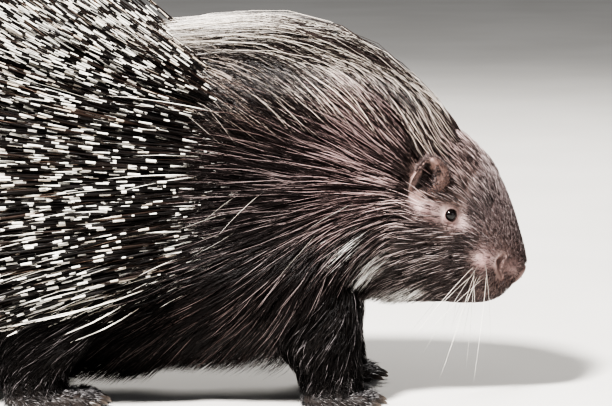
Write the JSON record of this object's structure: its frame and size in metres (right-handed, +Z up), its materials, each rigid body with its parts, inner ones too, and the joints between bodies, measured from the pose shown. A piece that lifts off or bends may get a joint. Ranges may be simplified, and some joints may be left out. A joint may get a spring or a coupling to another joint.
{
  "type": "porcupine",
  "caption": "Still, life-size Cape porcupine that walks with its head low, its crest swept back and its banded quills half raised.",
  "frame": {"origin": "on the floor under the middle of the whole animal, quill tips included", "axes": "+X forward, towards the muzzle; +Y to the animal's left; +Z up"},
  "size_m": [0.8733, 0.2953, 0.4758],
  "materials": {
    "face": "short grey-brown hair over mauve skin",
    "bristle_coat": "long dark brown bristles, pale-tipped on the crest",
    "quill_coat": "hard glossy quills, black-brown with ivory bands",
    "ear_skin": "thin pink-brown skin",
    "eye": "glossy near-black",
    "leg_fur": "short coarse dark bristles",
    "foot_skin": "dark thinly haired skin",
    "claw_horn": "dull dark horn"
  },
  "bodies": {
    "root": {"head": "face", "neck": "bristle_coat", "shoulders": "bristle_coat", "torso": "quill_coat", "tail": "quill_coat", "ear_right": "ear_skin", "ear_left": "ear_skin", "eye_right": "eye", "eye_left": "eye", "leg_fore_right": "leg_fur", "foot_fore_right": "foot_skin", "leg_fore_left": "leg_fur", "foot_fore_left": "foot_skin", "leg_hind_right": "leg_fur", "foot_hind_right": "foot_skin", "leg_hind_left": "leg_fur", "foot_hind_left": "foot_skin", "claw_fore_right_1": "claw_horn", "claw_fore_right_2": "claw_horn", "claw_fore_right_3": "claw_horn", "claw_fore_right_4": "claw_horn", "claw_fore_left_1": "claw_horn", "claw_fore_left_2": "claw_horn", "claw_fore_left_3": "claw_horn", "claw_fore_left_4": "claw_horn", "claw_hind_right_1": "claw_horn", "claw_hind_right_2": "claw_horn", "claw_hind_right_3": "claw_horn", "claw_hind_right_4": "claw_horn", "claw_hind_right_5": "claw_horn", "claw_hind_left_1": "claw_horn", "claw_hind_left_2": "claw_horn", "claw_hind_left_3": "claw_horn", "claw_hind_left_4": "claw_horn", "claw_hind_left_5": "claw_horn"}
  },
  "joints": []
}
